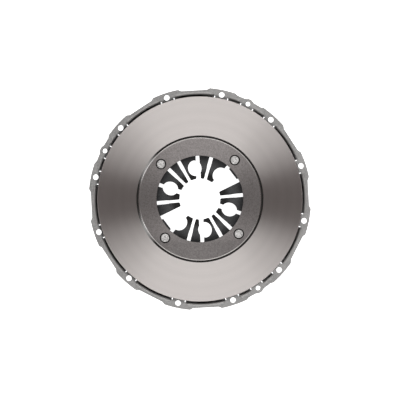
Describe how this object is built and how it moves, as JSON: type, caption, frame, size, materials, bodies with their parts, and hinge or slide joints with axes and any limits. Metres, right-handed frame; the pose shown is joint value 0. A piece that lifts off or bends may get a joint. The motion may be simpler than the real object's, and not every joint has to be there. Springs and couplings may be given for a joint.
{
  "type": "clutch pressure plate",
  "caption": "Pull-type diaphragm spring clutch cover for a truck: scalloped bolt flange, machined friction ring, riveted inner web and slotted spring fingers in the bore.",
  "frame": {"origin": "centre of the bolt circle, on the flange face that bolts to the flywheel", "axes": "+Z to the flywheel along the clutch axis, +X through a bolt hole"},
  "size_m": [0.4702, 0.4702, 0.0579],
  "materials": {
    "cover_paint": "satin grey coating",
    "cast_iron": "fine turned friction face, plain web",
    "spring_black": "dark phosphated spring steel",
    "spring_steel": "blued spring steel",
    "clip_steel": "hardened strip",
    "rivet_steel": "bright upset rivet",
    "screw_steel": "zinc flake"
  },
  "bodies": {
    "cover": {"cover": "cover_paint", "cover_fulcrum_ring": "spring_steel", "strap_rivets": "rivet_steel", "strap_spacer_1": "rivet_steel", "strap_spacer_2": "rivet_steel", "strap_spacer_3": "rivet_steel", "strap_spacer_4": "rivet_steel", "strap_1_top_leaf": "spring_steel", "strap_1_middle_leaf": "spring_steel", "strap_1_bottom_leaf": "spring_steel", "strap_2_top_leaf": "spring_steel", "strap_2_middle_leaf": "spring_steel", "strap_2_bottom_leaf": "spring_steel", "strap_3_top_leaf": "spring_steel", "strap_3_middle_leaf": "spring_steel", "strap_3_bottom_leaf": "spring_steel", "strap_4_top_leaf": "spring_steel", "strap_4_middle_leaf": "spring_steel", "strap_4_bottom_leaf": "spring_steel"},
    "pressure_plate": {"pressure_plate": "cast_iron", "clip_rivets": "rivet_steel", "strap_screws": "screw_steel", "retaining_clip_1": "clip_steel", "retaining_clip_2": "clip_steel", "retaining_clip_3": "clip_steel", "retaining_clip_4": "clip_steel"},
    "diaphragm": {"diaphragm_spring": "spring_black"}
  },
  "joints": [
    {"name": "plate_lift", "type": "slide", "parent": "cover", "child": "pressure_plate", "axis": [0, 0, -1], "range_m": [0, 0.006], "stiffness_N_per_m": 40000, "springref_m": -0.05, "deforming": ["strap_1_top_leaf", "strap_1_middle_leaf", "strap_1_bottom_leaf", "strap_2_top_leaf", "strap_2_middle_leaf", "strap_2_bottom_leaf", "strap_3_top_leaf", "strap_3_middle_leaf", "strap_3_bottom_leaf", "strap_4_top_leaf", "strap_4_middle_leaf", "strap_4_bottom_leaf"]},
    {"name": "release_pull", "type": "slide", "parent": "cover", "child": "diaphragm", "axis": [0, 0, -1], "range_m": [0, 0.02612], "deforming": ["diaphragm_spring"]}
  ],
  "couplings": [
    {"joint": "release_pull", "follows": "plate_lift", "ratio": 4.3528}
  ]
}
